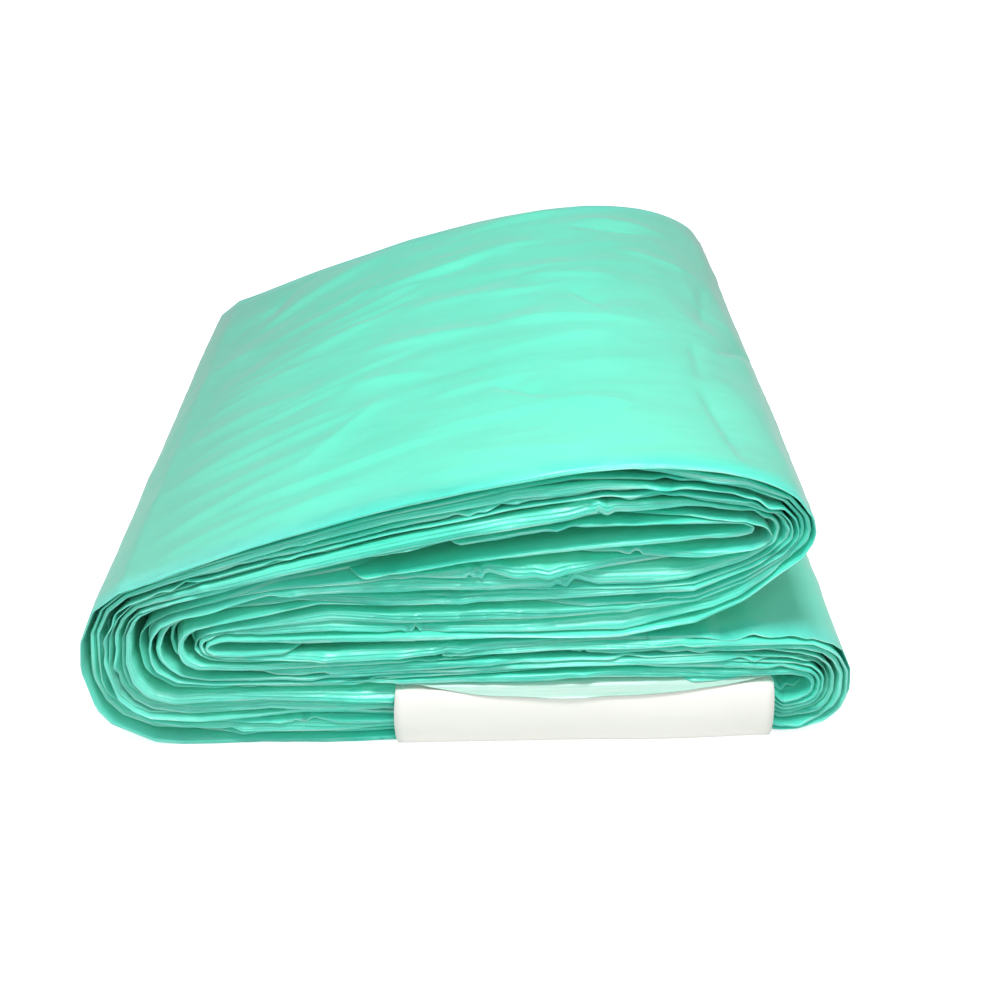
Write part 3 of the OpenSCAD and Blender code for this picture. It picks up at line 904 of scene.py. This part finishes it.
def film_skin_group():
    """The film's skin, for all its materials: a colour that drifts slowly between a deep and a bright
    tone; on its edge faces, painted shade in dark lines for the crevices between many plies and painted
    highlights in pale lines along them; paler in patches at the folds, where the film lies doubled, with a
    painted highlight there; a painted sheen at the stack's thin ends; painted light on the left edge
    faces;
    painted shade on both slopes of the cover; a roughness that drifts; and crinkles as a normal."""
    group = bpy.data.node_groups.new("film skin", "ShaderNodeTree")
    for name in TONES:
        group.interface.new_socket(name, in_out="INPUT", socket_type="NodeSocketColor")
    for name in ("Fold Share", "Crinkle"):
        group.interface.new_socket(name, in_out="INPUT", socket_type="NodeSocketFloat")
    for name, kind in (("Color", "Color"), ("Roughness", "Float"), ("Normal", "Vector")):
        group.interface.new_socket(name, in_out="OUTPUT", socket_type="NodeSocket" + kind)

    def times(first, second):
        """The product of two values."""
        return arithmetic(group, "MULTIPLY", first, second)

    given = group.nodes.new("NodeGroupInput").outputs
    out = group.nodes.new("NodeGroupOutput")
    place = node(group, "TexCoord").outputs
    at = node(group, "SeparateXYZ", Vector=place["Object"]).outputs
    film = node(group, "Attribute")
    film.attribute_name = "on_film"
    on_film = film.outputs["Vector"]
    to_fold = node(group, "SeparateXYZ", Vector=on_film).outputs["Z"]
    # 1 on the edge faces, within 3.5 mm of a fold, and 0 on the sheets, past 8 mm
    on_face = map_range(group, to_fold, 3.5 * MM, 8 * MM, 1, 0)
    on_sheet = arithmetic(group, "SUBTRACT", 1.0, on_face)

    # The slow drift of the tone
    slow = node(group, "TexNoise", Vector=place["Object"], Scale=14, Detail=3, Roughness=0.55)
    wide = map_range(group, slow.outputs["Fac"], 0.1, 0.9, 0, 1)
    tone = colour_mix(group, wide, given["Deep"], given["Bright"])
    edge_tone = colour_mix(group, wide, given["Edge Deep"], given["Edge Bright"])
    tone = colour_mix(group, on_face, tone, edge_tone)

    # Painted shade in dark lines for the crevices between plies, and painted highlights in pale lines
    # along the plies, that run along the film on its edge faces
    lines = node(group, "Mapping", Vector=on_film, Scale=(16, 1500, 0))
    streaks = node(group, "TexNoise", Vector=lines.outputs[0], Scale=1, Detail=3, Roughness=0.6)
    streak = streaks.outputs["Fac"]
    crevice_shade = times(map_range(group, streak, 0.44, 0.3, 0, 0.55), on_face)
    tone = colour_mix(group, crevice_shade, tone, given["Line"])
    light = times(map_range(group, streak, 0.56, 0.7, 0, 0.5), on_face)

    # Paler in patches along the folds, where the film lies doubled, with a painted highlight there; a
    # painted sheen at the stack's ends, where the thin film is seen at a glance; and painted light on the
    # left edge faces
    near = map_range(group, to_fold, 0.1 * MM, 0.7 * MM, 1, 0)
    patchy = node(group, "TexNoise", Vector=place["Object"], Scale=70, Detail=2)
    seen = map_range(group, patchy.outputs["Fac"], 0.38, 0.62, 0, 1)
    # Painted highlight in patches along the folds, where the film lies doubled
    pale_fold_and_highlight = times(near, seen)
    pale = arithmetic(group, "MAXIMUM", pale_fold_and_highlight, light)
    share = times(pale, given["Fold Share"])
    out_x = arithmetic(group, "ABSOLUTE", at["X"])
    # Painted sheen at the stack's two ends
    end_sheen = map_range(group, out_x, 89 * MM, 101 * MM, 0, 0.5)
    share = arithmetic(group, "MAXIMUM", share, end_sheen)
    # Painted light: the edge faces grow paler towards the left, as if lit from there
    painted_left_light = times(map_range(group, at["X"], -25 * MM, -90 * MM, 0, 0.28), on_face)
    share = arithmetic(group, "MAXIMUM", share, painted_left_light)

    # Painted shade on the cover's slopes, which turn away from the light overhead
    upper = map_range(group, at["Z"], 30 * MM, 42 * MM, 0, 1)
    slope_shade = times(map_range(group, out_x, 35 * MM, 82 * MM, 0, 0.8), on_sheet)
    slope_shade = times(slope_shade, upper)
    tone = colour_mix(group, slope_shade, tone, given["Slope Shade"])
    colour = colour_mix(group, share, tone, given["Fold"])
    rough = map_range(group, slow.outputs["Fac"], 0.1, 0.9, 0.29, 0.42)

    # Crinkles
    along = node(group, "Mapping", Vector=place["UV"], Scale=(1, 2.6, 1),
                 Rotation=(0, 0, math.radians(18)))
    creases = node(group, "TexNoise", Vector=along.outputs[0], Scale=42, Detail=2, Roughness=0.45)
    fine = node(group, "TexNoise", Vector=place["Object"], Scale=420, Detail=3)
    faint = times(fine.outputs["Fac"], 0.05)
    ply = times(times(streak, on_face), 0.35)
    height = arithmetic(group, "ADD", faint, creases.outputs["Fac"])
    height = arithmetic(group, "ADD", height, ply)
    bump = node(group, "Bump", Distance=0.004, Strength=given["Crinkle"], Height=height)
    feed(group, out, Color=colour, Roughness=rough, Normal=bump.outputs[0])
    return group


def new_material(name):
    """A new material with nodes, its node tree and its shader."""
    material = bpy.data.materials.new(name)
    material.use_nodes = True
    return material, material.node_tree, material.node_tree.nodes["Principled BSDF"]


# The pale tone of the film's painted sheen, where it is seen at a glance
RIM_SHEEN_TONE = (0.62, 0.93, 0.85)


def film_material(name, skin, tones, fold_share):
    """Glossy mint film, slightly see-through, with the shared skin. Where it is seen at a glance it is
    paler: a painted sheen. Its tones are in the skin's order."""
    material, tree, shader = new_material(name)
    made = node(tree, "Group")
    made.node_tree = skin
    for socket, tone in zip(TONES, tones):
        made.inputs[socket].default_value = (*tone, 1)
    feed(tree, made, Fold_Share=fold_share, Crinkle=0.12)
    # Painted sheen: the colour turns paler where the film is seen at a glance
    glance = node(tree, "LayerWeight", Blend=0.5)
    rim = map_range(tree, glance.outputs["Facing"], 0.7, 1, 0, 0.4)
    colour = colour_mix(tree, rim, made.outputs["Color"], (*RIM_SHEEN_TONE, 1))
    feed(tree, shader, Base_Color=colour, Roughness=made.outputs["Roughness"],
         Normal=made.outputs["Normal"], IOR=1.5, Coat_Weight=0.15, Coat_Roughness=0.12,
         Subsurface_Weight=0.35, Subsurface_Radius=(0.35, 1.0, 0.85), Subsurface_Scale=0.003)
    return material


def paper_material():
    """Plain uncoated paper with a faint mottle and fine fibres."""
    material, tree, shader = new_material("band paper")
    place = node(tree, "TexCoord").outputs["Object"]
    mottle = node(tree, "TexNoise", Vector=place, Scale=60, Detail=4).outputs["Fac"]
    tone = colour_mix(tree, mottle, (0.90, 0.90, 0.84, 1), (0.95, 0.95, 0.90, 1))
    fibre = node(tree, "TexNoise", Vector=place, Scale=1400, Detail=3).outputs["Fac"]
    bump = node(tree, "Bump", Strength=0.2, Distance=0.0001, Height=fibre)
    rough = map_range(tree, mottle, 0, 1, 0.7, 0.85)
    feed(tree, shader, Base_Color=tone, Roughness=rough, Normal=bump.outputs[0], Specular_IOR_Level=0.35)
    return material


def add_camera():
    """The photograph's view: a 50.4 mm lens, pitched down 29.2 degrees, rolled 1.27 degrees."""
    data = bpy.data.cameras.new("camera")
    data.sensor_width = 36
    data.lens = 50.4
    data.clip_start = 0.01
    camera = linked("camera", data)
    pitch = Matrix.Rotation(math.radians(90 - 29.22), 4, "X")
    roll = Matrix.Rotation(math.radians(-1.27), 4, "Z")
    camera.matrix_world = Matrix.Translation((9.2 * MM, -397.4 * MM, 237.1 * MM)) @ (pitch @ roll)
    bpy.context.scene.camera = camera


def add_area(name, place, aim, size, power):
    """A square soft light at a place, turned to aim at a point."""
    data = bpy.data.lights.new(name, "AREA")
    data.size = size
    data.energy = power
    lamp = linked(name, data)
    turn = (Vector(aim) - Vector(place)).to_track_quat("-Z", "Y").to_matrix().to_4x4()
    lamp.matrix_world = Matrix.Translation(place) @ turn


FLOOR_REACH = 6
FLOOR_GREY = 0.85
FLOOR_GLOW = 0.72
WORLD_FILL = 0.4


def show_to_camera(tree, lit, seen, out):
    """Gives the camera's rays one shader and all other rays another."""
    ray = node(tree, "LightPath").outputs["Is Camera Ray"]
    mixed = node(tree, "MixShader")
    for value, socket in zip((ray, lit, seen), mixed.inputs):
        connect(tree, value, socket)
    feed(tree, node(tree, out), Surface=mixed.outputs[0])


def add_stage():
    """A white floor that keeps the object's shadow, and a white world. To the camera the floor is
    white paper plus light of its own, which lifts what is lit to pure white."""
    mesh = bpy.data.meshes.new("floor")
    corners = [(-1, -1), (1, -1), (1, 1), (-1, 1)]
    mesh.from_pydata([(x * FLOOR_REACH, y * FLOOR_REACH, 0) for x, y in corners], [], [(0, 1, 2, 3)])
    floor = linked("floor", mesh)
    material = new_material("floor white")[0]
    tree = material.node_tree
    tree.nodes.clear()
    paper = node(tree, "BsdfDiffuse", Color=(FLOOR_GREY, FLOOR_GREY, FLOOR_GREY, 1)).outputs[0]
    glow = node(tree, "Emission", Color=(1, 1, 1, 1), Strength=FLOOR_GLOW).outputs[0]
    both = node(tree, "AddShader")
    connect(tree, paper, both.inputs[0])
    connect(tree, glow, both.inputs[1])
    show_to_camera(tree, paper, both.outputs[0], "OutputMaterial")
    mesh.materials.append(material)
    world = bpy.data.worlds.new("world")
    bpy.context.scene.world = world
    world.use_nodes = True
    tree = world.node_tree
    tree.nodes.clear()
    seen = node(tree, "Background", Color=(1, 1, 1, 1), Strength=1).outputs[0]
    fill = node(tree, "Background", Color=(1, 1, 1, 1), Strength=WORLD_FILL).outputs[0]
    show_to_camera(tree, fill, seen, "OutputWorld")


add_camera()
add_stage()
add_area("overhead", (0.02, -0.19, 0.49), (0.02, -0.01, 0.06), 0.14, 1.7)
add_area("front", (0.06, -0.95, 0.75), (0, -0.1, 0.04), 0.7, 2.6)

# Each film's tones: two for its sheets, two for its edge faces, its dark line of painted crevice shade,
# its fold with painted highlight, and the painted shade on its slopes
MINT_TONES = [(0.12, 0.74, 0.53), (0.18, 0.85, 0.63), (0.05, 0.72, 0.53), (0.15, 0.86, 0.67),
              (0.005, 0.46, 0.33), (0.45, 0.9, 0.77), (0.19, 0.65, 0.49)]
LOOSE_DEEP, LOOSE_BRIGHT = (0.42, 0.88, 0.72), (0.58, 0.93, 0.81)
LOOSE_TONES = [LOOSE_DEEP, LOOSE_BRIGHT, LOOSE_DEEP, LOOSE_BRIGHT, (0.10, 0.62, 0.46),
               (0.75, 0.95, 0.88), LOOSE_DEEP]
skin = film_skin_group()
mint_film = film_material("mint film", skin, MINT_TONES, 0.7)
loose_film = film_material("loose film", skin, LOOSE_TONES, 0.8)

film_pieces = [inner_turns(f"film_turns_{first + 1}_to_{first + 3}", first, first + 3)
               for first in range(0, TURNS - 1, 3)]
film_pieces.append(outer_turn("film_cover"))
film_pieces.append(loose_ply("film_loose_hairpin", LOOSE_HAIRPIN, 1 * MM, 3 * MM, 420))
for piece in film_pieces:
    piece.data.materials.append(mint_film)
film_pieces.append(drooping_edge("film_drooping_edge"))
film_pieces[-1].data.materials.append(loose_film)
for piece in film_pieces:
    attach(piece, "root")
    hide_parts("liner_film")

band = paper_band("band")
band.data.materials.append(paper_material())
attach(band, "root")
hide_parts("paper_band")

bpy.context.scene.view_settings.view_transform = "Standard"
